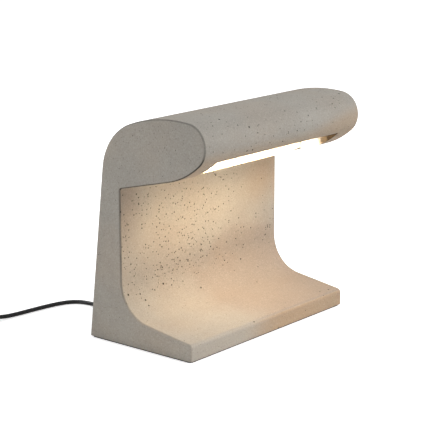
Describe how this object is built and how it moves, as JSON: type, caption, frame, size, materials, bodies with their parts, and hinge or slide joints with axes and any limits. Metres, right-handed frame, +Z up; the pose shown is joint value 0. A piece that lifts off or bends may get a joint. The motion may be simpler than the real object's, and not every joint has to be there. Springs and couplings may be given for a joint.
{
  "type": "table lamp",
  "caption": "Table lamp cast as a concrete hook: a flat tongue, a leaning back and an overhanging head with an LED strip in a slot, on a corded inline switch and plug.",
  "frame": {"origin": "on the table, under the middle of the lamp's own box (the free cord left out)", "axes": "+Z up; +X along the block; -Y is the open front, where the light falls; the cord leaves the back, towards +Y"},
  "size_m": [0.4538, 0.3656, 0.2532],
  "materials": {
    "concrete": "matte",
    "conduit_plastic": "satin",
    "anodised_aluminium": "satin",
    "brass_insert": "satin",
    "zinc_screw": "satin",
    "black_screw": "matte",
    "led_board_white": "satin",
    "led_phosphor": "matte",
    "opal_diffuser": "matte",
    "white_plastic": "satin",
    "driver_plastic": "matte",
    "white_reflector": "satin",
    "grommet_rubber": "matte",
    "wire_red": "satin",
    "wire_black": "satin",
    "wire_brown": "satin",
    "wire_blue": "satin",
    "circuit_board": "satin",
    "component_black": "satin",
    "clamp_plastic": "matte",
    "base_steel": "satin",
    "base_foam": "matte",
    "cord_sheath": "satin",
    "relief_rubber": "satin",
    "switch_plastic": "satin",
    "terminal_brass": "satin",
    "pivot_steel": "satin",
    "plug_plastic": "satin",
    "pin_nickel": "satin",
    "tie_fabric": "matte"
  },
  "bodies": {
    "lamp": {"concrete_body": "concrete", "wire_conduit": "conduit_plastic", "light_channel": "anodised_aluminium", "channel_inserts": "brass_insert", "base_plate_inserts": "brass_insert", "channel_screws": "zinc_screw", "board_screws": "zinc_screw", "driver_screws": "zinc_screw", "cord_clamp_screws": "zinc_screw", "switch_screws": "zinc_screw", "base_plate_screws": "black_screw", "led_board": "led_board_white", "led_chips": "led_phosphor", "diffuser": "opal_diffuser", "diffuser_end_cap_left": "white_plastic", "diffuser_end_cap_right": "white_plastic", "board_connector": "white_plastic", "driver_case": "driver_plastic", "driver_lid": "driver_plastic", "rear_reflector": "white_reflector", "wire_grommet": "grommet_rubber", "led_wire_positive": "wire_red", "led_wire_negative": "wire_black", "supply_wire_live": "wire_brown", "supply_wire_neutral": "wire_blue", "driver_board": "circuit_board", "driver_components": "component_black", "cord_clamp_base": "clamp_plastic", "cord_clamp_bridge": "clamp_plastic", "base_plate": "base_steel", "base_pad": "base_foam", "supply_cord_end": "cord_sheath", "cord_lead": "cord_sheath", "cord_link": "cord_sheath", "cord_tail": "cord_sheath", "cord_coil": "cord_sheath", "switch_cord_ends": "cord_sheath", "cord_grip": "relief_rubber", "plug_relief": "relief_rubber", "switch_lower_case": "switch_plastic", "switch_upper_case": "switch_plastic", "switch_terminals": "terminal_brass", "rocker_pin": "pivot_steel", "plug_body": "plug_plastic", "plug_pins": "pin_nickel", "coil_tie": "tie_fabric"},
    "rocker": {"switch_rocker": "switch_plastic"}
  },
  "joints": [
    {"name": "rocker_turn", "type": "hinge", "parent": "lamp", "child": "rocker", "pos_m": [-0.203, 0.204, 0.0156], "axis": [0, 1, 0], "range_deg": [-16, 0]}
  ]
}
